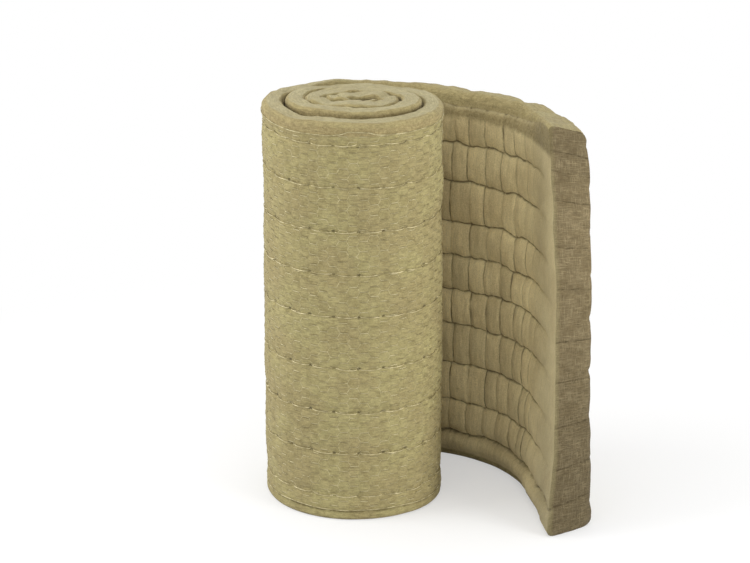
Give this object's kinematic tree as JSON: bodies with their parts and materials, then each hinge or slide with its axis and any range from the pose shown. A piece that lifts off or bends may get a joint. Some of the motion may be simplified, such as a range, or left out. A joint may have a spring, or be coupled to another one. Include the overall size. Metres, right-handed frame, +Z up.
{
  "type": "insulation roll",
  "caption": "Stitched stone wool mat rolled up and stood on end, its outer end sprung loose in a wide curve beside the roll.",
  "frame": {"origin": "on the floor at the roll's axis", "axes": "+Z up along the roll's axis, +X towards the loose end's side, the cut end faces -Y"},
  "size_m": [0.7969, 0.5761, 1],
  "materials": {
    "stone_wool": "matt fibre"
  },
  "bodies": {
    "root": {"wool_mat": "stone_wool"}
  },
  "joints": []
}
